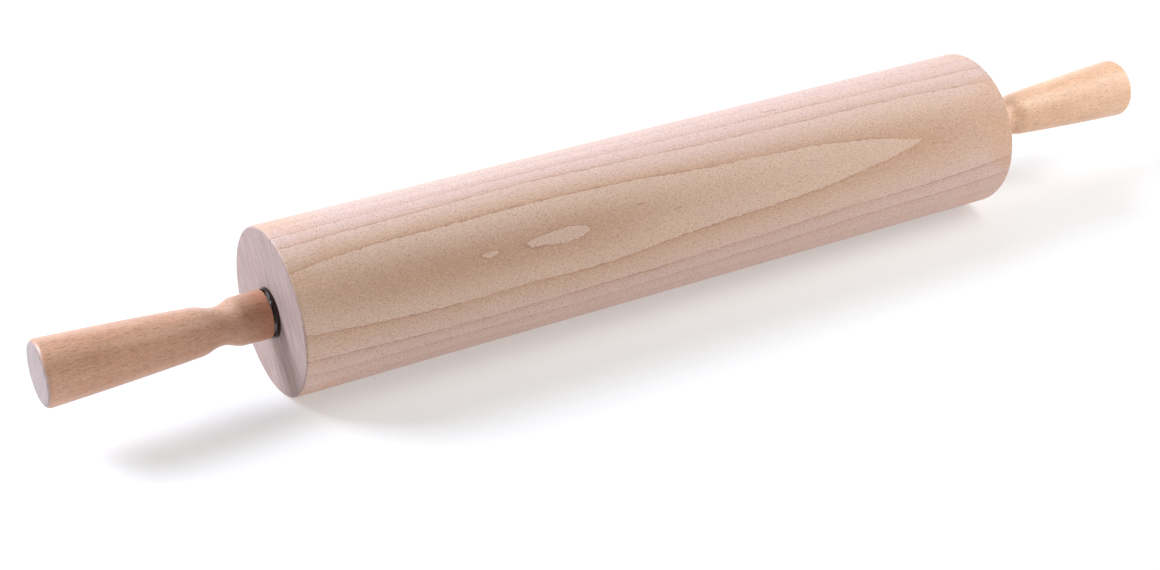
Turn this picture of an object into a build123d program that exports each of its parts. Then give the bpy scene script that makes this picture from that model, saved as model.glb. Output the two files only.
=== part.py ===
from build123d import *
import os
from math import sqrt

# Rolling pin whose barrel turns on two ball bearings round a steel axle rod, with a turned handle
# screwed on each end of the rod. The pin lies along X on a worktop at Z 0, and its origin is on the
# worktop under the middle of the barrel. All sizes are in millimetres.

# Barrel: a turned cylinder, bored right through for the rod
barrel_length = 400
barrel_radius = 40
barrel_edge_round = 1.2
barrel_bore_radius = 7

# Ball bearing, 8 mm bore, 22 mm across, 7 mm wide
bearing_bore_radius = 4
bearing_outer_radius = 11
bearing_width = 7
race_edge_break = 0.3
inner_land_radius = 5.9
outer_land_radius = 9.1
ball_count = 7
ball_radius = 2
ball_pitch_radius = 7.5
ball_clearance = 0.05

# Cage: a one-piece crown whose pockets close past the middle of each ball, in pairs of horns that
# are free to spring apart
cage_thickness = 2.2
cage_web_reach = 2.9
cage_horn_reach = 1
cage_relief_radius = 0.9
pocket_clearance = 0.15

# Bearing cup: pressed steel, with a rolled lip that stands proud of the barrel's face and is hardly
# wider than the handle's collar
cup_wall = 0.5
cup_floor_ledge = 2.4
cup_corner_round = 0.7
bearing_recess = 2.6
lip_radius = 11.85
lip_height = 1.8
lip_round = 0.4

# Dust shield: a dished washer that stands on the outer race
shield_thickness = 0.6
shield_height = 1.4
shield_rim_width = 0.8
shield_corner_round = 0.5
shield_gap = 0.3

# Spacer bush and lock nut, which clamp the inner race against the rod's shoulder
bush_wall = 1.6
bush_length = 3.4
nut_across_flats = 13
nut_thickness = 4
nut_corner_break = 0.45

# Threaded insert, glued into the handle
insert_wall = 2
insert_length = 16
insert_flange_radius = 7.8
insert_flange_thickness = 1.2

# Axle rod: full size between its two shoulders, turned down to the bearings' bore outside them
rod_radius = 5
rod_reach = 50
rod_tip_break = 1

# Handle: a collar at the barrel, a waist, and a grip that swells to the flat end
handle_gap = 0.6
handle_length = 105
collar_radius = 11.5
collar_end_radius = 11.35
collar_length = 13
collar_edge_round = 0.8
waist_radius = 8.95
waist_distance = 22.8
grip_start_radius = 11.3
grip_start_distance = 33.2
grip_crown = 0.3
handle_end_radius = 15.6
handle_end_round = 2.4
nut_pocket_clearance = 0.5
rod_clearance = 0.25
rod_tip_room = 2
drill_point_share = 0.6

# One overrun for every cut that has to pass through a face
overrun = 1

# Places along the axis, counted outwards from the barrel's end face
bearing_face = -bearing_recess
bearing_middle = bearing_face - bearing_width / 2
bearing_back = bearing_face - bearing_width
cup_back = bearing_back - cup_wall
nut_seat = bearing_face + bush_length
insert_seat = nut_seat + nut_thickness
flange_seat = insert_seat + insert_flange_thickness
handle_start = lip_height + handle_gap
handle_end = handle_start + handle_length

# Sizes that follow from the ones above
half_barrel = barrel_length / 2
cup_radius = bearing_outer_radius + cup_wall
groove_radius = ball_radius + ball_clearance
insert_radius = bearing_bore_radius + insert_wall
nut_corner_radius = nut_across_flats / sqrt(3)
nut_pocket_radius = max(nut_corner_radius, insert_flange_radius) + nut_pocket_clearance
rod_hole_radius = bearing_bore_radius + rod_clearance
rod_hole_end = rod_reach + rod_tip_room

# The pin's axis, and a sketch plane at each end of the barrel: x outwards, y away from the axis
spin_axis = Axis((0, 0, barrel_radius), (1, 0, 0))
middle_plane = Plane(origin=(0, 0, barrel_radius), x_dir=(1, 0, 0), z_dir=(0, -1, 0))

os.makedirs("parts", exist_ok=True)


# Barrel, with a counterbore at each end that takes the bearing cup
with BuildPart() as barrel:
    with BuildSketch(middle_plane):
        with Locations((-half_barrel, barrel_bore_radius)):
            Rectangle(barrel_length, barrel_radius - barrel_bore_radius, align=Align.MIN)
        for counterbore_start in (-half_barrel, half_barrel + cup_back):
            with Locations((counterbore_start, 0)):
                Rectangle(-cup_back, cup_radius, align=Align.MIN, mode=Mode.SUBTRACT)
    revolve(axis=spin_axis)
    fillet(barrel.edges().filter_by(GeomType.CIRCLE).group_by(SortBy.RADIUS)[-1], barrel_edge_round)
barrel.part.label = "barrel"
export_step(barrel.part, "parts/barrel.step")


# Axle rod: shoulders stop the inner races, and the tips carry the nuts and the handles
with BuildPart() as axle_rod:
    with BuildSketch(middle_plane):
        Rectangle(barrel_length + 2 * bearing_back, rod_radius, align=(Align.CENTER, Align.MIN))
        Rectangle(barrel_length + 2 * rod_reach, bearing_bore_radius, align=(Align.CENTER, Align.MIN))
    revolve(axis=spin_axis)
    tips = axle_rod.faces().sort_by(Axis.X)
    chamfer(tips[0].edges() + tips[-1].edges(), rod_tip_break)
axle_rod.part.label = "axle_rod"
export_step(axle_rod.part, "parts/axle_rod.step")


for side, outward in (("left", -1), ("right", 1)):
    face_origin = (outward * half_barrel, 0, barrel_radius)
    end_plane = Plane(origin=face_origin, x_dir=(outward, 0, 0), z_dir=(0, -outward, 0))
    outward_axis = Axis(face_origin, (outward, 0, 0))
    face_plane = Plane(origin=face_origin, x_dir=(0, outward, 0), z_dir=(outward, 0, 0))

    # Bearing cup, pressed into the barrel: floor ledge, wall and rolled lip
    with BuildPart() as bearing_cup:
        with BuildSketch(end_plane):
            with BuildLine():
                Polyline(
                    (cup_back, cup_radius - cup_floor_ledge - cup_wall),
                    (cup_back, cup_radius),
                    (0, cup_radius),
                    (0, lip_radius),
                    (lip_height, lip_radius),
                    (lip_height, bearing_outer_radius),
                    (bearing_back, bearing_outer_radius),
                    (bearing_back, cup_radius - cup_floor_ledge - cup_wall),
                    close=True,
                )
            make_face()
        revolve(axis=spin_axis)
        fillet(bearing_cup.faces().sort_by(outward_axis)[-1].edges(), lip_round)
        back_edges = bearing_cup.faces().sort_by(outward_axis)[0].edges()
        fillet(back_edges.sort_by(SortBy.RADIUS)[-1], cup_corner_round)
    bearing_cup.part.label = f"{side}_bearing_cup"
    export_step(bearing_cup.part, f"parts/{side}_bearing_cup.step")

    # Outer race, with the balls' groove on its inner land
    with BuildPart() as outer_race:
        with BuildSketch(end_plane) as outer_section:
            with Locations((bearing_back, outer_land_radius)):
                Rectangle(bearing_width, bearing_outer_radius - outer_land_radius, align=Align.MIN)
            chamfer(outer_section.vertices().group_by(Axis.Y)[-1], race_edge_break)
            with Locations((bearing_middle, ball_pitch_radius)):
                Circle(groove_radius, mode=Mode.SUBTRACT)
        revolve(axis=spin_axis)
    outer_race.part.label = f"{side}_outer_race"
    export_step(outer_race.part, f"parts/{side}_outer_race.step")

    # Inner race, seated on the rod against its shoulder
    with BuildPart() as inner_race:
        with BuildSketch(end_plane) as inner_section:
            with Locations((bearing_back, bearing_bore_radius)):
                Rectangle(bearing_width, inner_land_radius - bearing_bore_radius, align=Align.MIN)
            chamfer(inner_section.vertices().group_by(Axis.Y)[0], race_edge_break)
            with Locations((bearing_middle, ball_pitch_radius)):
                Circle(groove_radius, mode=Mode.SUBTRACT)
        revolve(axis=spin_axis)
    inner_race.part.label = f"{side}_inner_race"
    export_step(inner_race.part, f"parts/{side}_inner_race.step")

    # Balls, evenly spaced round the pitch circle
    with BuildPart(face_plane.offset(bearing_middle)) as bearing_balls:
        with PolarLocations(ball_pitch_radius, ball_count):
            Sphere(ball_radius)
    bearing_balls.part.label = f"{side}_bearing_balls"
    export_step(bearing_balls.part, f"parts/{side}_bearing_balls.step")

    # Crown cage: its web lies on the outer side, and its horns reach back past the balls' middle, with
    # a round relief between the pockets
    with BuildPart(face_plane.offset(bearing_middle)) as ball_cage:
        with BuildSketch(face_plane.offset(bearing_middle - cage_horn_reach)):
            Circle(ball_pitch_radius + cage_thickness / 2)
            Circle(ball_pitch_radius - cage_thickness / 2, mode=Mode.SUBTRACT)
        extrude(amount=cage_horn_reach + cage_web_reach)
        with PolarLocations(ball_pitch_radius, ball_count):
            Sphere(ball_radius + pocket_clearance, mode=Mode.SUBTRACT)
        with Locations((0, 0, -cage_horn_reach)):
            with PolarLocations(ball_pitch_radius, ball_count, start_angle=180 / ball_count):
                Cylinder(cage_relief_radius, 2 * cage_thickness, rotation=(0, 90, 0), mode=Mode.SUBTRACT)
    ball_cage.part.label = f"{side}_ball_cage"
    export_step(ball_cage.part, f"parts/{side}_ball_cage.step")

    # Dust shield: its rim stands on the outer race, and its disc closes the cup round the bush
    with BuildPart() as dust_shield:
        with BuildSketch(end_plane):
            with Locations((bearing_face, bearing_outer_radius - shield_rim_width)):
                Rectangle(shield_height, shield_rim_width, align=Align.MIN)
            shield_hole_radius = bearing_bore_radius + bush_wall + shield_gap
            with Locations((bearing_face + shield_height - shield_thickness, shield_hole_radius)):
                Rectangle(shield_thickness, bearing_outer_radius - shield_hole_radius, align=Align.MIN)
        revolve(axis=spin_axis)
        top_edges = dust_shield.faces().sort_by(outward_axis)[-1].edges()
        fillet(top_edges.sort_by(SortBy.RADIUS)[-1], shield_corner_round)
    dust_shield.part.label = f"{side}_dust_shield"
    export_step(dust_shield.part, f"parts/{side}_dust_shield.step")

    # Spacer bush, between the inner race and the nut
    with BuildPart() as spacer_bush:
        with BuildSketch(end_plane):
            with Locations((bearing_face, bearing_bore_radius)):
                Rectangle(bush_length, bush_wall, align=Align.MIN)
        revolve(axis=spin_axis)
    spacer_bush.part.label = f"{side}_spacer_bush"
    export_step(spacer_bush.part, f"parts/{side}_spacer_bush.step")

    # Lock nut: a thin hexagon with its corners turned off on both faces
    with BuildPart() as lock_nut:
        with BuildSketch(face_plane.offset(nut_seat)):
            RegularPolygon(nut_across_flats / 2, side_count=6, major_radius=False)
            Circle(bearing_bore_radius, mode=Mode.SUBTRACT)
        extrude(amount=nut_thickness)
        with BuildSketch(end_plane) as turned_outline:
            with Locations((nut_seat, 0)):
                Rectangle(nut_thickness, nut_corner_radius, align=Align.MIN)
            chamfer(turned_outline.vertices().group_by(Axis.Y)[-1], nut_corner_break)
        revolve(axis=spin_axis, mode=Mode.INTERSECT)
    lock_nut.part.label = f"{side}_lock_nut"
    export_step(lock_nut.part, f"parts/{side}_lock_nut.step")

    # Threaded insert: a sleeve in the handle, whose flange takes the pressure of the nut
    with BuildPart() as handle_insert:
        with BuildSketch(end_plane):
            with Locations((insert_seat, bearing_bore_radius)):
                Rectangle(insert_length, insert_wall, align=Align.MIN)
                flange_width = insert_flange_radius - bearing_bore_radius
                Rectangle(insert_flange_thickness, flange_width, align=Align.MIN)
        revolve(axis=spin_axis)
    handle_insert.part.label = f"{side}_handle_insert"
    export_step(handle_insert.part, f"parts/{side}_handle_insert.step")

    # Handle: the turned outline, then the stepped hole for the nut, the insert and the rod
    with BuildPart() as handle:
        with BuildSketch(end_plane):
            with BuildLine():
                collar_start = (handle_start, collar_radius)
                collar_end = (handle_start + collar_length, collar_end_radius)
                waist = (handle_start + waist_distance, waist_radius)
                grip_start = (handle_start + grip_start_distance, grip_start_radius)
                grip_end = (handle_end, handle_end_radius)
                grip_middle = (
                    (grip_start[0] + grip_end[0]) / 2,
                    (grip_start[1] + grip_end[1]) / 2 + grip_crown,
                )
                Line((handle_start, 0), collar_start)
                collar = Line(collar_start, collar_end)
                Spline(collar_end, waist, tangents=[collar % 1, (1, 0)])
                grip = ThreePointArc(grip_start, grip_middle, grip_end)
                Spline(waist, grip_start, tangents=[(1, 0), grip % 0])
                Line(grip_end, (handle_end, 0))
                Line((handle_end, 0), (handle_start, 0))
            make_face()
        revolve(axis=spin_axis)
        fillet(handle.faces().sort_by(outward_axis)[0].edges(), collar_edge_round)
        fillet(handle.faces().sort_by(outward_axis)[-1].edges(), handle_end_round)
        with BuildSketch(end_plane):
            with BuildLine():
                drill_tip = rod_hole_end + drill_point_share * rod_hole_radius
                Polyline(
                    (handle_start - overrun, 0),
                    (handle_start - overrun, nut_pocket_radius),
                    (flange_seat, nut_pocket_radius),
                    (flange_seat, insert_radius),
                    (insert_seat + insert_length, insert_radius),
                    (insert_seat + insert_length, rod_hole_radius),
                    (rod_hole_end, rod_hole_radius),
                    (drill_tip, 0),
                    close=True,
                )
            make_face()
        revolve(axis=spin_axis, mode=Mode.SUBTRACT)
    handle.part.label = f"{side}_handle"
    export_step(handle.part, f"parts/{side}_handle.step")
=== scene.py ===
import math

import bpy
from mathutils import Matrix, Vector


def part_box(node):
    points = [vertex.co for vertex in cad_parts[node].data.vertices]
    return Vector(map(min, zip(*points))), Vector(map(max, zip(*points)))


# Rolling pin whose barrel turns on ball bearings: finishes, floor, light and camera around the packed
# model. Scene units are metres. Wood patterns are worked out in millimetres of the pin's own frame.
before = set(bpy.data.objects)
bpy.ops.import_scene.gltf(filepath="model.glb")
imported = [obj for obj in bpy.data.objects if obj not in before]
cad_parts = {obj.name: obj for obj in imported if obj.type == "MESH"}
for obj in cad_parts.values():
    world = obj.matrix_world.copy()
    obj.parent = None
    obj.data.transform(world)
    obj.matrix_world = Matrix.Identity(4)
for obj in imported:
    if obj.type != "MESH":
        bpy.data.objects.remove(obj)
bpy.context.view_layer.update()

MM = 0.001

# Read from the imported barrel: its radius and half length in millimetres, its axis in metres
barrel_low, barrel_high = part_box("barrel")
BARREL_RADIUS = (barrel_high.y - barrel_low.y) / 2 / MM
HALF_BARREL = barrel_high.x / MM
AXIS_HEIGHT = (barrel_low.z + barrel_high.z) / 2

# Camera at the photograph's place, level sideways
CAMERA_PLACE = Vector((-0.4953, -0.7761, 0.4978))
CAMERA_AIM = Vector((0.4461, 0.7575, -0.4766))
CAMERA_LENS = 64.69
CAMERA_SENSOR = 36
CAMERA_CLIP = 0.01

# Soft boxes: name, direction from the frame's origin, distance, width, power, colour. The two behind the
# pin are cooler than the others.
COOL_LIGHT = (0.9, 0.99, 1.14)
WHITE_LIGHT = (1.0, 1.0, 1.0)
SOFT_BOXES = (
    ("left_box", (-0.65, 0.45, 0.6), 1.6, 0.7, 31, COOL_LIGHT),
    ("back_box", (0.3, 0.8, 0.5), 1.6, 1.6, 10, COOL_LIGHT),
    ("top_box", (0.0, 0.0, 1.0), 1.5, 1.4, 2.5, WHITE_LIGHT),
    ("right_box", (0.6, -0.3, 0.75), 1.3, 0.9, 10, WHITE_LIGHT),
    ("low_box", (0.85, -0.45, 0.35), 1.0, 0.5, 2.6, WHITE_LIGHT),
)

# A matt floor that also glows a little, so that it stays near white
FLOOR_SIZE = 8
FLOOR_COLOUR = (0.57, 0.56, 0.55, 1.0)
FLOOR_GLOW = 0.36

# The backdrop turns from white behind the pin to grey on the camera's side, over these shares of a
# direction's backward part, and to a dark ceiling from 10 to 20 degrees up
WALL_BEHIND = (1.0, 1.0, 1.0, 1.0)
WALL_IN_FRONT = (0.65, 0.65, 0.65, 1.0)
CEILING = (0.0, 0.0, 0.0, 1.0)
WALL_FADE = (0.2, -0.6)
CEILING_FADE = (0.17, 0.34)


def srgb(red, green, blue):
    """A colour given as 0 to 255 values of a screen, as Blender's own linear colour."""
    linear = []
    for value in (red, green, blue):
        share = value / 255
        linear.append(share / 12.92 if share <= 0.04045 else ((share + 0.055) / 1.055) ** 2.4)
    return (*linear, 1)


class Graph:
    """The node tree of one material or world, with a short call for each kind of node."""

    def __init__(self, owner):
        owner.use_nodes = True
        self.tree = owner.node_tree
        self.tree.nodes.clear()

    def add(self, kind, inputs=(), **settings):
        """A node of that kind. Settings are attributes, and inputs are (socket, value or link) pairs."""
        made = self.tree.nodes.new(kind)
        for name, value in settings.items():
            setattr(made, name, value)
        for socket, value in inputs:
            if isinstance(value, bpy.types.NodeSocket):
                self.tree.links.new(value, made.inputs[socket])
            else:
                made.inputs[socket].default_value = value
        return made

    def math(self, operation, first, second=0.0, third=0.0, clamp=False):
        values = ((0, first), (1, second), (2, third))
        return self.add("ShaderNodeMath", values, operation=operation, use_clamp=clamp).outputs[0]

    def scaled(self, vector, factors):
        """A vector multiplied axis by axis, so that a pattern is stretched along the grain."""
        return self.add("ShaderNodeVectorMath", ((0, vector), (1, factors)), operation="MULTIPLY").outputs[0]

    def split(self, vector):
        """The three parts of a vector."""
        return self.add("ShaderNodeSeparateXYZ", ((0, vector),)).outputs

    def noise(self, vector, detail=1.0, roughness=0.5):
        """Noise between 0 and 1, about one swell to each unit of the vector."""
        inputs = (("Vector", vector), ("Scale", 1.0), ("Detail", detail), ("Roughness", roughness))
        return self.add("ShaderNodeTexNoise", inputs).outputs["Fac"]

    def swing(self, vector, amount, detail=1.0):
        """Noise that swings about zero by the amount."""
        centred = self.math("SUBTRACT", self.noise(vector, detail), 0.5)
        return self.math("MULTIPLY", centred, 2 * amount)

    def ramp(self, value, start, end):
        """0 before the start, 1 beyond the end, smooth between them. The start may be the greater."""
        inputs = ((0, value), (1, start), (2, end), (3, 0.0), (4, 1.0))
        return self.add("ShaderNodeMapRange", inputs, interpolation_type="SMOOTHSTEP").outputs[0]

    def curve(self, value, points, low, high):
        """A smooth curve through (value, result) points, with the results between low and high."""
        first, last = points[0][0], points[-1][0]
        share = self.math("DIVIDE", self.math("SUBTRACT", value, first), last - first, clamp=True)
        made = self.add("ShaderNodeFloatCurve", (("Value", share),))
        drawn = made.mapping.curves[0].points
        for place, result in points[1:-1]:
            drawn.new((place - first) / (last - first), (result - low) / (high - low))
        drawn[0].location = (0.0, (points[0][1] - low) / (high - low))
        drawn[len(drawn) - 1].location = (1.0, (points[-1][1] - low) / (high - low))
        made.mapping.update()
        return self.math("MULTIPLY_ADD", made.outputs[0], high - low, low)

    def blend(self, share, first, second, way="MIX"):
        """Two colours mixed by a share between 0 and 1."""
        inputs = ((0, share), (6, first), (7, second))
        return self.add("ShaderNodeMix", inputs, data_type="RGBA", blend_type=way).outputs[2]

    def lay(self, colour, cover, strength, top):
        """The top colour laid over another where the cover is 1, at that strength."""
        return self.blend(self.math("MULTIPLY", cover, strength), colour, top)

    def tone(self, shares, first, second):
        """A tone made of a base and two patterns. Shares are the base and how much each pattern adds."""
        base, first_share, second_share = shares
        first_part = self.math("MULTIPLY", first, first_share)
        second_part = self.math("MULTIPLY", second, second_share)
        return self.math("ADD", self.math("ADD", first_part, second_part), base)

    def toned(self, colour, tone):
        """A colour made darker or lighter by a tone, where 1 leaves it as it is."""
        grey = self.add("ShaderNodeCombineColor", ((0, tone), (1, tone), (2, tone))).outputs[0]
        return self.blend(1.0, colour, grey, "MULTIPLY")

    def bump(self, height, strength, depth):
        """A relief of that depth in millimetres."""
        inputs = (("Strength", strength), ("Distance", depth * MM), ("Height", height))
        return self.add("ShaderNodeBump", inputs).outputs[0]

    def surface(self, *inputs):
        """The shader of the whole surface, with these inputs."""
        shader = self.add("ShaderNodeBsdfPrincipled", inputs)
        self.add("ShaderNodeOutputMaterial", ((0, shader.outputs[0]),))


# Growth rings of the barrel. The tree's outer side faces the camera, 30 degrees above level, and the
# boundary of one ring runs this far under the turned surface there: (place along the barrel, depth)
RING_LEAN = math.radians(30)
RING_BOW = (
    (-200, 1.8),
    (-160, 2.75),
    (-125, 3.0),
    (-114, 3.03),
    (-110, 3.05),
    (-106, 3.07),
    (-102, 3.05),
    (-94, 3.03),
    (-84, 3.05),
    (-77, 3.065),
    (-70, 3.1),
    (-64, 3.125),
    (-59, 3.1),
    (-54, 3.05),
    (-48, 3.0),
    (-30, 2.7),
    (0, 2.0),
    (50, 1.4),
    (100, 0.57),
    (120, 0.26),
    (130, 0.1),
    (137, 0.03),
    (143, 0.0),
    (150, -0.06),
    (163, -0.3),
    (200, -1.3),
)
# A range that holds all depths above, for the curve that is drawn through them
BOW_RANGE = (-2.0, 4.0)
# Rings counted outwards from that boundary: (distance outwards, rings)
RING_COUNT = (
    (-80, -16),
    (-22.5, -4),
    (-16.5, -3),
    (-10, -2),
    (-5.2, -1),
    (0, 0),
    (3.05, 1),
    (6, 2),
)
# The range of those counts
COUNT_RANGE = (-16.0, 2.0)
# A ring is about this wide, and all rings curve about a pith this far away, in millimetres
RING_WIDTH = 4.5
PITH_DISTANCE = 150
# The flats of the barrel's mesh lie no deeper than this under the turned surface
FLAT_DEPTH = 0.3
# Depth gained over each millimetre of the turned surface: the least, in the middle of the outer side,
# and what each millimetre across adds to it
LEAST_SLOPE = 0.015
SLOPE_RISE = 0.02
# A ring boundary on the turned surface: its width and how far it strays, all in millimetres
LINE_WIDTH = 0.9
LINE_STRAY = 1.6
LINE_RAGGEDNESS = 0.8
# How far slow clouds swing the wood between its two colours
CLOUD_SWING = 0.6
# Late wood grows with the share of a ring that is passed, raised to this power
LATE_WOOD_POWER = 2.2
# Depths over which lines, late wood and tan come in towards the outer side, and all three behind, where
# the wood is less tan than in front
LINE_FADE = (-24, -3)
LATE_FADE = (-30, 0)
TAN_FADE = (-9.0, 1.0)
BEHIND_FADE = (-42, -62)
TAN_BEHIND = 0.8

# Patterns of the barrel and of end grain, in swells to each millimetre along the pin, outwards and along
# the rings. A patch starts at the first value of its noise and is full at the second.
STRAY_SCALE = (0.015, 0.06, 0.06)
RAGGED_SCALE = (0.25, 0.8, 0.8)
LINE_PATCHES = (0.02, 0.1, 0.1)
LINE_PATCH_EDGE = (0.25, 0.65)
TAN_CLOUDS = (0.008, 0.05, 0.05)
STAIN_PATCHES = (0.03, 0.05, 0.05)
STAIN_PATCH_EDGE = (0.4, 0.65)
BARREL_FIBRES = (0.06, 1.4, 1.4)
BARREL_GRAINS = (0.9, 2.0, 2.0)
END_STREAKS = (0.0, 0.7, 0.05)
END_PORES = (0.0, 1.6, 0.8)
# Tones: the base, and how much the fibres and the grains add, or the streaks and the pores
BARREL_TONE = (0.68, 0.08, 0.75)
END_TONE = (0.1, 1.2, 0.6)
# How strongly each thing covers the wood under it
LINE_COVER = 0.5
STAIN_COVER = 0.5
PORE_COVER = 0.4
RAY_COVER = 0.6
MARK_COVER = 0.5
# Roughness at its least and what the grains add to it, and the strength of the gleam
BARREL_ROUGHNESS = (0.52, 0.2)
BARREL_GLEAM = 0.3

# The barrel's colours: pink at the sides, tan in front and behind, each with early and late wood
PINK_EARLY_WOOD = srgb(203, 174, 163)
PINK_LATE_WOOD = srgb(192, 158, 143)
TAN_EARLY_WOOD = srgb(201, 171, 151)
TAN_LATE_WOOD = srgb(186, 149, 124)
RING_LINE = srgb(148, 107, 88)
BARREL_STAIN = srgb(200, 156, 122)
BARREL_PORE = srgb(232, 210, 196)
BARREL_RAY = srgb(136, 92, 72)
BARREL_MARK = srgb(118, 80, 64)
BARREL_END = srgb(165, 142, 136)
# From this far off its middle the barrel is stained a warmer brown, towards either end
STAIN_START = 160
# Small dark marks of this barrel: (place along it, degrees above level, half length, half width)
BARREL_MARKS = ((69.5, 85.5, 7.0, 0.5), (-24.5, 37.0, 3.0, 0.45), (-5.0, 27.6, 3.5, 0.4))

# Spindles along the grain: cell is the spacing along the pin, outwards and along the rings, size is a
# spindle's share of its cell, and share is how many of the cells show one
BARREL_RAYS = {"cell": (1.6, 3.6, 0.9), "size": 0.27, "share": 0.9}
BARREL_PORES = {"cell": (1.3, 1.3, 0.8), "size": 0.28, "share": 0.9}
HANDLE_RAYS = {"cell": (6.0, 0.9, 0.6), "size": 0.36, "share": 0.6}
SHORT_RAYS = {"cell": (2.6, 0.7, 0.5), "size": 0.34, "share": 0.8}
# The part of a spindle, and of a mark, that has its full colour
SPINDLE_CORE = 0.45
MARK_CORE = 0.3

# The two handles differ in colour, as they do in the photograph
LEFT_HANDLE = {
    "name": "dark_waxed_beech",
    "lean": math.radians(-25),
    "pale_wood": srgb(205, 158, 128),
    "dark_wood": srgb(192, 141, 111),
    "ray": srgb(108, 50, 28),
    # How strongly painted shade darkens and reddens this handle's collar
    "collar_shade_strength": 0.7,
}
RIGHT_HANDLE = {
    "name": "pale_waxed_beech",
    "lean": math.radians(60),
    "pale_wood": srgb(225, 183, 150),
    "dark_wood": srgb(212, 166, 132),
    "ray": srgb(152, 94, 62),
    "collar_shade_strength": 0.2,
}
HANDLE_END = srgb(157, 136, 132)
# The same kinds of values as for the barrel
HANDLE_BANDS = (0.03, 0.14, 0.14)
BAND_EDGE = (0.25, 0.75)
HANDLE_FIBRES = (0.06, 1.3, 1.3)
HANDLE_GRAINS = (0.6, 2.2, 2.2)
HANDLE_TONE = (0.58, 0.2, 0.7)
SHORT_RAY_COVER = 0.32
HANDLE_RAY_COVER = 0.42
HANDLE_ROUGHNESS = (0.36, 0.15)
HANDLE_GLEAM = 0.7
# Painted shade on the collar, standing for the barrel's shade on it: darker and redder, full at its start
# and gone at its end, both measured from the pin's middle
COLLAR_PAINTED_SHADE = (0.78, 0.55, 0.4, 1.0)
COLLAR_SHADE_START = HALF_BARREL + 3
COLLAR_SHADE_END = HALF_BARREL + 20

# How squarely a surface faces along the pin where end grain starts to show, and where it is full
END_FACING = (0.5, 0.95)
# Depth of the wood's hollows in millimetres
WOOD_RELIEF = 0.05
WOOD_RELIEF_STRENGTH = 0.3

# The other finishes: their patterns, in swells to each metre, their colours, and how strong stains are
TURNING_MARKS = 9000.0
METAL_STAINS = 400.0
ENAMEL_CLOUDS = 500.0
NYLON_CLOUDS = 300.0
DULL_METAL = (0.2, 0.2, 0.21, 1.0)
METAL_STAIN_COVER = 0.3
METAL_ROUGHNESS_SWING = 0.12
ENAMEL_DARK = (0.018, 0.008, 0.007, 1.0)
ENAMEL_LIGHT = (0.035, 0.016, 0.014, 1.0)
ENAMEL_GLEAM = (1.0, 0.9, 0.82, 1.0)
NYLON_LIGHT = (0.72, 0.68, 0.56, 1.0)
NYLON_DARK = (0.62, 0.58, 0.47, 1.0)

# Which finish a piece wears, by its name or by its name without its side
WEARERS = {
    "barrel": "barrel",
    "left_handle": "left_handle",
    "right_handle": "right_handle",
    "axle_rod": "axle_rod",
    "bearing_cup": "enamel",
    "outer_race": "bearing",
    "inner_race": "bearing",
    "bearing_balls": "bearing",
    "ball_cage": "nylon",
    "dust_shield": "zinc",
    "spacer_bush": "zinc",
    "lock_nut": "zinc",
    "handle_insert": "brass",
}


def object_place(graph):
    """The place of a point in its piece's own coordinates, in metres."""
    return graph.add("ShaderNodeTexCoord").outputs["Object"]


def grain_coordinates(graph, lean):
    """Millimetres along the pin, outwards through the rings, and along the rings."""
    mapping = graph.add(
        "ShaderNodeMapping",
        (
            ("Vector", object_place(graph)),
            ("Location", (0.0, 0.0, AXIS_HEIGHT)),
            ("Rotation", (math.pi - lean, 0.0, 0.0)),
            ("Scale", (MM, MM, MM)),
        ),
        vector_type="TEXTURE",
    )
    return mapping.outputs[0]


def from_middle(graph, grain):
    """Millimetres along the pin from its middle, to either side."""
    return graph.math("ABSOLUTE", graph.split(grain)[0])


def spindles(graph, grain, cell, size, share):
    """Short spindles along the grain, one to a cell, of which only a share shows."""
    cells = graph.scaled(grain, tuple(1 / side for side in cell))
    voronoi = graph.add("ShaderNodeTexVoronoi", (("Vector", cells), ("Scale", 1.0), ("Randomness", 1.0)))
    near = graph.ramp(voronoi.outputs["Distance"], size, size * SPINDLE_CORE)
    chance = graph.add("ShaderNodeSeparateColor", ((0, voronoi.outputs["Color"]),)).outputs[0]
    return graph.math("MULTIPLY", near, graph.math("LESS_THAN", chance, share))


def single_mark(graph, grain, along, angle, half_length, half_width):
    """One dark mark on the barrel's surface, at a place along it and an angle above level."""
    turn = math.radians(angle) - RING_LEAN
    centre = (along, BARREL_RADIUS * math.cos(turn), -BARREL_RADIUS * math.sin(turn))
    offset = graph.add("ShaderNodeVectorMath", ((0, grain), (1, centre)), operation="SUBTRACT").outputs[0]
    shares = graph.scaled(offset, (1 / half_length, 1 / half_width, 1 / half_width))
    distance = graph.add("ShaderNodeVectorMath", ((0, shares),), operation="LENGTH").outputs["Value"]
    return graph.ramp(distance, 1.0, MARK_CORE)


def with_end_grain(graph, grain, colour, end_wood):
    """The colour on turned surfaces, and end grain on flat ends: fine streaks along the rings, and pores."""
    streaks = graph.noise(graph.scaled(grain, END_STREAKS), 3.0, 0.65)
    pores = graph.noise(graph.scaled(grain, END_PORES), 2.0)
    end_colour = graph.toned(end_wood, graph.tone(END_TONE, streaks, pores))
    normal = graph.add("ShaderNodeTexCoord").outputs["Normal"]
    facing = graph.math("ABSOLUTE", graph.split(normal)[0])
    return graph.blend(graph.ramp(facing, *END_FACING), colour, end_colour)


def wood_surface(graph, colour, hollows, grains, roughness, gleam):
    """Sanded wood with fine hollows. Roughness is its least and what the grains add to it."""
    least, swing = roughness
    height = graph.math("SUBTRACT", graph.math("MULTIPLY", grains, 0.5), hollows)
    graph.surface(
        ("Base Color", colour),
        ("Roughness", graph.math("MULTIPLY_ADD", grains, swing, least)),
        ("Specular IOR Level", gleam),
        ("Normal", graph.bump(height, WOOD_RELIEF_STRENGTH, WOOD_RELIEF)),
    )


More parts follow.
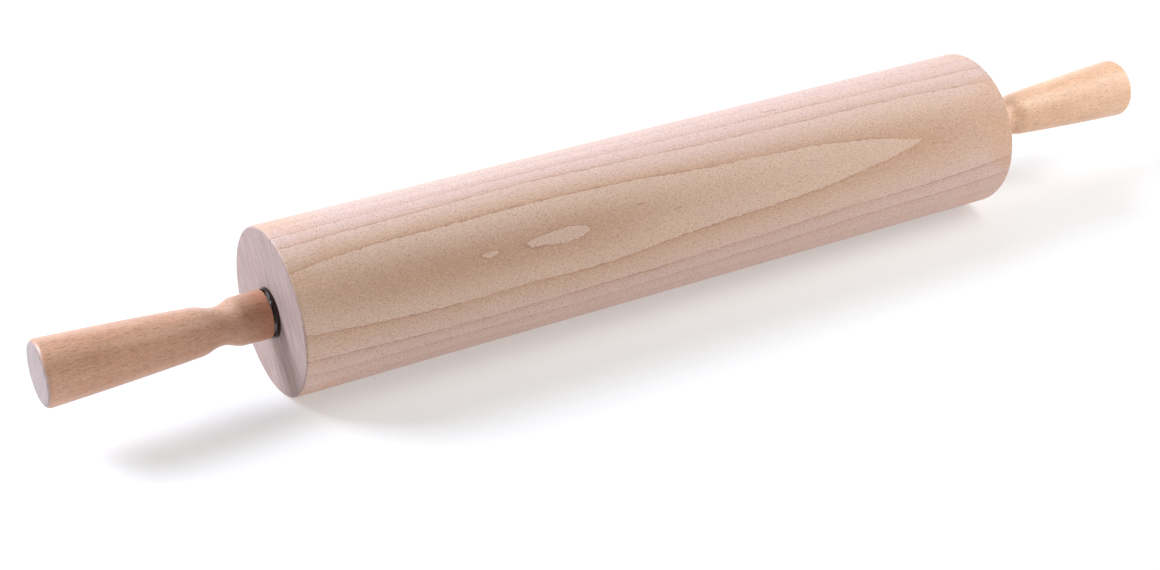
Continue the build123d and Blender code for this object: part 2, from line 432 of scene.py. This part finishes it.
def true_circle(graph, outward, across):
    """The factor that takes a point on a flat of the barrel's mesh out to its radius, and 1 further in."""
    squares = graph.math("ADD", graph.math("POWER", outward, 2.0), graph.math("POWER", across, 2.0))
    radius = graph.math("SQRT", squares)
    on_surface = graph.math("GREATER_THAN", radius, BARREL_RADIUS - FLAT_DEPTH)
    rise = graph.math("SUBTRACT", graph.math("DIVIDE", BARREL_RADIUS, radius), 1.0)
    return graph.math("MULTIPLY_ADD", rise, on_surface, 1.0)


def ring_depth(graph, grain):
    """Depth from the first boundary, outwards positive, and how fast it changes on the turned surface."""
    along, outward, across = graph.split(grain)
    # The mesh is made of flats, and the rings are cut by the true circle
    to_circle = true_circle(graph, outward, across)
    outward = graph.math("MULTIPLY", outward, to_circle)
    across = graph.math("MULTIPLY", across, to_circle)
    sag = graph.math("DIVIDE", graph.math("POWER", across, 2.0), 2 * PITH_DISTANCE)
    depth = graph.math("SUBTRACT", graph.math("ADD", outward, sag), BARREL_RADIUS)
    depth = graph.math("ADD", depth, graph.curve(along, RING_BOW, *BOW_RANGE))
    slope = graph.math("MULTIPLY_ADD", graph.math("ABSOLUTE", across), SLOPE_RISE, LEAST_SLOPE)
    stray = graph.swing(graph.scaled(grain, STRAY_SCALE), LINE_STRAY)
    ragged = graph.swing(graph.scaled(grain, RAGGED_SCALE), LINE_RAGGEDNESS, detail=2.0)
    depth = graph.math("MULTIPLY_ADD", graph.math("ADD", stray, ragged), slope, depth)
    return depth, slope


def ring_pattern(graph, grain):
    """Where the wood is tan, where it is late wood, and the dark line at a ring's end."""
    depth, slope = ring_depth(graph, grain)
    phase = graph.math("FRACT", graph.curve(depth, RING_COUNT, *COUNT_RANGE))
    left = graph.math("MULTIPLY", graph.math("SUBTRACT", 1.0, phase), RING_WIDTH)
    line = graph.ramp(graph.math("DIVIDE", left, slope), LINE_WIDTH, 0.0)
    strength = graph.noise(graph.scaled(grain, LINE_PATCHES))
    line = graph.math("MULTIPLY", line, graph.ramp(strength, *LINE_PATCH_EDGE))
    # Lines and late wood fade towards the sides, where the rings stand on edge, and come back behind
    behind = graph.ramp(depth, *BEHIND_FADE)
    line = graph.math("MULTIPLY", line, graph.math("ADD", graph.ramp(depth, *LINE_FADE), behind))
    late = graph.math("POWER", phase, LATE_WOOD_POWER)
    late = graph.math("MULTIPLY", late, graph.math("ADD", graph.ramp(depth, *LATE_FADE), behind))
    # Slow clouds of both colours
    clouds = graph.swing(graph.scaled(grain, TAN_CLOUDS), CLOUD_SWING, detail=2.0)
    tan = graph.math("MULTIPLY_ADD", behind, TAN_BEHIND, graph.ramp(depth, *TAN_FADE))
    tan = graph.math("ADD", tan, clouds, clamp=True)
    return tan, late, line


def stained_rings(graph, grain):
    """The barrel's rings, with warm stains near both ends."""
    tan, late, line = ring_pattern(graph, grain)
    early_wood = graph.blend(tan, PINK_EARLY_WOOD, TAN_EARLY_WOOD)
    late_wood = graph.blend(tan, PINK_LATE_WOOD, TAN_LATE_WOOD)
    colour = graph.lay(graph.blend(late, early_wood, late_wood), line, LINE_COVER, RING_LINE)
    patches = graph.ramp(graph.noise(graph.scaled(grain, STAIN_PATCHES)), *STAIN_PATCH_EDGE)
    near_end = graph.ramp(from_middle(graph, grain), STAIN_START, HALF_BARREL)
    return graph.lay(colour, graph.math("MULTIPLY", near_end, patches), STAIN_COVER, BARREL_STAIN)


def barrel_wood():
    """Sanded beech: rings, fine fibres, dark spindles of the rays, pale pores, and the barrel's marks."""
    material = bpy.data.materials.new("steamed_beech")
    graph = Graph(material)
    grain = grain_coordinates(graph, RING_LEAN)
    fibres = graph.noise(graph.scaled(grain, BARREL_FIBRES), 2.0)
    grains = graph.noise(graph.scaled(grain, BARREL_GRAINS), 2.0)
    colour = graph.toned(stained_rings(graph, grain), graph.tone(BARREL_TONE, fibres, grains))
    rays = spindles(graph, grain, **BARREL_RAYS)
    pores = spindles(graph, grain, **BARREL_PORES)
    colour = graph.lay(colour, pores, PORE_COVER, BARREL_PORE)
    colour = graph.lay(colour, rays, RAY_COVER, BARREL_RAY)
    for mark in BARREL_MARKS:
        colour = graph.lay(colour, single_mark(graph, grain, *mark), MARK_COVER, BARREL_MARK)
    colour = with_end_grain(graph, grain, colour, BARREL_END)
    wood_surface(graph, colour, graph.math("ADD", rays, pores), grains, BARREL_ROUGHNESS, BARREL_GLEAM)
    return material


def handle_wood(name, lean, pale_wood, dark_wood, ray, collar_shade_strength):
    """Waxed beech with dense dark rays, and painted shade that makes the collar darker and redder than the
    grip.
    """
    material = bpy.data.materials.new(name)
    graph = Graph(material)
    grain = grain_coordinates(graph, lean)
    bands = graph.noise(graph.scaled(grain, HANDLE_BANDS), 3.0)
    colour = graph.blend(graph.ramp(bands, *BAND_EDGE), pale_wood, dark_wood)
    fibres = graph.noise(graph.scaled(grain, HANDLE_FIBRES), 2.0)
    grains = graph.noise(graph.scaled(grain, HANDLE_GRAINS), 2.0)
    colour = graph.toned(colour, graph.tone(HANDLE_TONE, fibres, grains))
    rays = spindles(graph, grain, **HANDLE_RAYS)
    colour = graph.lay(colour, spindles(graph, grain, **SHORT_RAYS), SHORT_RAY_COVER, ray)
    colour = graph.lay(colour, rays, HANDLE_RAY_COVER, ray)
    # Painted shade: the collar beside the barrel is darkened and reddened for the barrel's shade on it
    collar = graph.ramp(from_middle(graph, grain), COLLAR_SHADE_END, COLLAR_SHADE_START)
    collar = graph.math("MULTIPLY", collar, collar_shade_strength)
    colour = graph.blend(collar, colour, COLLAR_PAINTED_SHADE, "MULTIPLY")
    colour = with_end_grain(graph, grain, colour, HANDLE_END)
    wood_surface(graph, colour, rays, grains, HANDLE_ROUGHNESS, HANDLE_GLEAM)
    return material


def turned_metal(name, colour, roughness):
    """Metal with the fine rings that turning or grinding about the pin's axis leaves."""
    material = bpy.data.materials.new(name)
    graph = Graph(material)
    place = object_place(graph)
    along, sideways, upward = graph.split(place)
    rise = graph.math("SUBTRACT", upward, AXIS_HEIGHT)
    squares = graph.math("ADD", graph.math("POWER", sideways, 2.0), graph.math("POWER", rise, 2.0))
    radius = graph.math("SQRT", squares)
    rings = graph.add("ShaderNodeCombineXYZ", ((0, along), (1, radius), (2, 0.0))).outputs[0]
    marks = graph.noise(graph.scaled(rings, (TURNING_MARKS, TURNING_MARKS, 1.0)), 2.0)
    stains = graph.noise(graph.scaled(place, (METAL_STAINS, METAL_STAINS, METAL_STAINS)), 3.0)
    graph.surface(
        ("Base Color", graph.lay(colour, stains, METAL_STAIN_COVER, DULL_METAL)),
        ("Metallic", 1.0),
        ("Roughness", graph.math("MULTIPLY_ADD", stains, METAL_ROUGHNESS_SWING, roughness)),
        ("Normal", graph.bump(marks, strength=0.1, depth=0.01)),
    )
    return material


def gloss_enamel():
    """Black stoving enamel on the pressed cup, with a slight unevenness."""
    material = bpy.data.materials.new("gloss_black_enamel")
    graph = Graph(material)
    place = object_place(graph)
    clouds = graph.noise(graph.scaled(place, (ENAMEL_CLOUDS, ENAMEL_CLOUDS, ENAMEL_CLOUDS)), 2.0)
    graph.surface(
        ("Base Color", graph.blend(clouds, ENAMEL_DARK, ENAMEL_LIGHT)),
        ("Roughness", graph.math("MULTIPLY_ADD", clouds, 0.06, 0.04)),
        ("Specular IOR Level", 0.35),
        ("Specular Tint", ENAMEL_GLEAM),
        ("Normal", graph.bump(clouds, strength=0.2, depth=0.02)),
    )
    return material


def moulded_nylon():
    """Natural nylon of the ball cage."""
    material = bpy.data.materials.new("moulded_nylon")
    graph = Graph(material)
    place = object_place(graph)
    clouds = graph.noise(graph.scaled(place, (NYLON_CLOUDS, NYLON_CLOUDS, NYLON_CLOUDS)), 2.0)
    graph.surface(("Base Color", graph.blend(clouds, NYLON_LIGHT, NYLON_DARK)), ("Roughness", 0.45))
    return material


def dress_cad_pieces():
    finishes = {
        "barrel": barrel_wood(),
        "left_handle": handle_wood(**LEFT_HANDLE),
        "right_handle": handle_wood(**RIGHT_HANDLE),
        "enamel": gloss_enamel(),
        "axle_rod": turned_metal("rod_steel", (0.58, 0.58, 0.6, 1.0), roughness=0.3),
        "bearing": turned_metal("bearing_steel", (0.7, 0.7, 0.72, 1.0), roughness=0.12),
        "zinc": turned_metal("zinc_plate", (0.66, 0.67, 0.68, 1.0), roughness=0.28),
        "nylon": moulded_nylon(),
        "brass": turned_metal("insert_brass", (0.78, 0.62, 0.34, 1.0), roughness=0.25),
    }
    for name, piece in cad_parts.items():
        kind = name if name in WEARERS else name.removeprefix("left_").removeprefix("right_")
        piece.data.materials.clear()
        piece.data.materials.append(finishes[WEARERS[kind]])


def make_floor():
    bpy.ops.object.select_all(action="DESELECT")
    bpy.ops.mesh.primitive_plane_add(size=FLOOR_SIZE, location=(0, 0, 0))
    floor = bpy.context.object
    floor.name = "floor"
    material = bpy.data.materials.new("pale_floor")
    Graph(material).surface(
        ("Base Color", FLOOR_COLOUR),
        ("Roughness", 0.9),
        ("Specular IOR Level", 0.0),
        ("Emission Color", (1.0, 1.0, 1.0, 1.0)),
        ("Emission Strength", FLOOR_GLOW),
    )
    floor.data.materials.append(material)


def make_world():
    world = bpy.data.worlds.new("studio")
    bpy.context.scene.world = world
    graph = Graph(world)
    direction = graph.add("ShaderNodeTexCoord").outputs["Generated"]
    backward, height = graph.split(direction)[1:]
    wall = graph.blend(graph.ramp(backward, *WALL_FADE), WALL_BEHIND, WALL_IN_FRONT)
    colour = graph.blend(graph.ramp(height, *CEILING_FADE), wall, CEILING)
    background = graph.add("ShaderNodeBackground", ((0, colour), (1, 1.0)))
    graph.add("ShaderNodeOutputWorld", ((0, background.outputs[0]),))


def make_light(name, direction, distance, width, power, colour):
    """A square soft box that faces the frame's origin."""
    data = bpy.data.lights.new(name, "AREA")
    data.shape = "SQUARE"
    data.size = width
    data.energy = power
    data.color = colour
    light = bpy.data.objects.new(name, data)
    bpy.context.collection.objects.link(light)
    away = Vector(direction).normalized()
    light.location = away * distance
    light.rotation_mode = "QUATERNION"
    light.rotation_quaternion = away.to_track_quat("Z", "Y")


def make_camera():
    data = bpy.data.cameras.new("camera")
    data.lens = CAMERA_LENS
    data.sensor_width = CAMERA_SENSOR
    data.clip_start = CAMERA_CLIP
    camera = bpy.data.objects.new("camera", data)
    bpy.context.collection.objects.link(camera)
    camera.location = CAMERA_PLACE
    camera.rotation_mode = "QUATERNION"
    camera.rotation_quaternion = CAMERA_AIM.to_track_quat("-Z", "Y")
    bpy.context.scene.camera = camera


bpy.context.scene.view_settings.view_transform = "Standard"
make_camera()
make_floor()
make_world()
for soft_box in SOFT_BOXES:
    make_light(*soft_box)
dress_cad_pieces()
